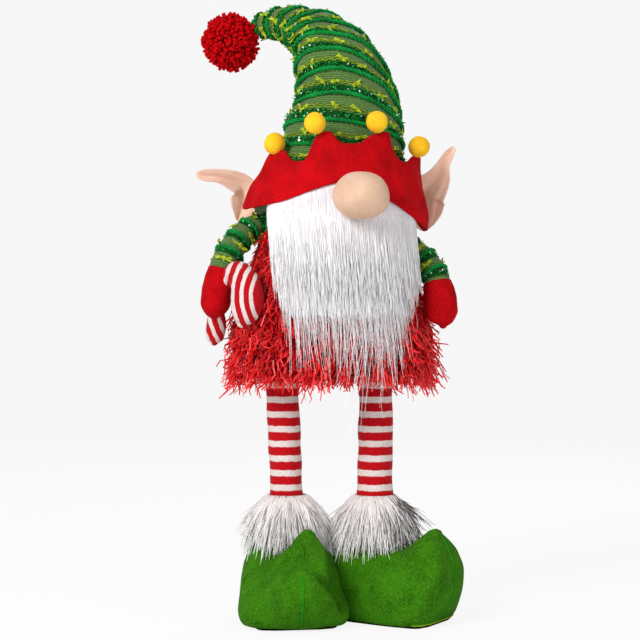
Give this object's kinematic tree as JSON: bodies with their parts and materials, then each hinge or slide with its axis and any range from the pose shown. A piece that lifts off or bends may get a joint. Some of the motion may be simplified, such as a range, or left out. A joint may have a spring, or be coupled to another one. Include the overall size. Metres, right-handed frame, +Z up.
{
  "type": "christmas elf figure",
  "caption": "Standing stuffed elf ornament with a curled banded hat, felt crown brim, round nose, long white beard, red tinsel body, candy cane, striped legs and curled green shoes",
  "frame": {"origin": "middle of the figure's box, on the floor under the shoes", "axes": "+Z up the figure's height, -Y the way the face looks, +X the viewer's right"},
  "size_m": [0.266, 0.218, 0.6013],
  "materials": {
    "hat_knit": "ribbed knit with tinsel",
    "red_yarn": "yarn pile",
    "red_felt": "felt",
    "yellow_felt": "felt",
    "skin_fleece": "fleece",
    "white_fur": "long pile fur",
    "red_tinsel": "tinsel pile",
    "striped_jersey": "striped jersey",
    "rod_wood": "plain",
    "green_felt": "felt",
    "sole_cloth": "dark felt"
  },
  "bodies": {
    "root": {"hat": "hat_knit", "pompom": "red_yarn", "brim": "red_felt", "brim_ball_1": "yellow_felt", "brim_ball_2": "yellow_felt", "brim_ball_3": "yellow_felt", "brim_ball_4": "yellow_felt", "nose": "skin_fleece", "beard": "white_fur", "ear_left": "skin_fleece", "ear_right": "skin_fleece", "body": "red_tinsel", "sleeve_left": "hat_knit", "sleeve_right": "hat_knit", "mitten_left": "red_felt", "mitten_right": "red_felt", "candy_cane": "striped_jersey", "leg_left": "striped_jersey", "leg_right": "striped_jersey", "leg_rod_left": "rod_wood", "leg_rod_right": "rod_wood", "fur_cuff_left": "white_fur", "fur_cuff_right": "white_fur", "shoe_left": "green_felt", "shoe_right": "green_felt", "sole_left": "sole_cloth", "sole_right": "sole_cloth"}
  },
  "joints": []
}
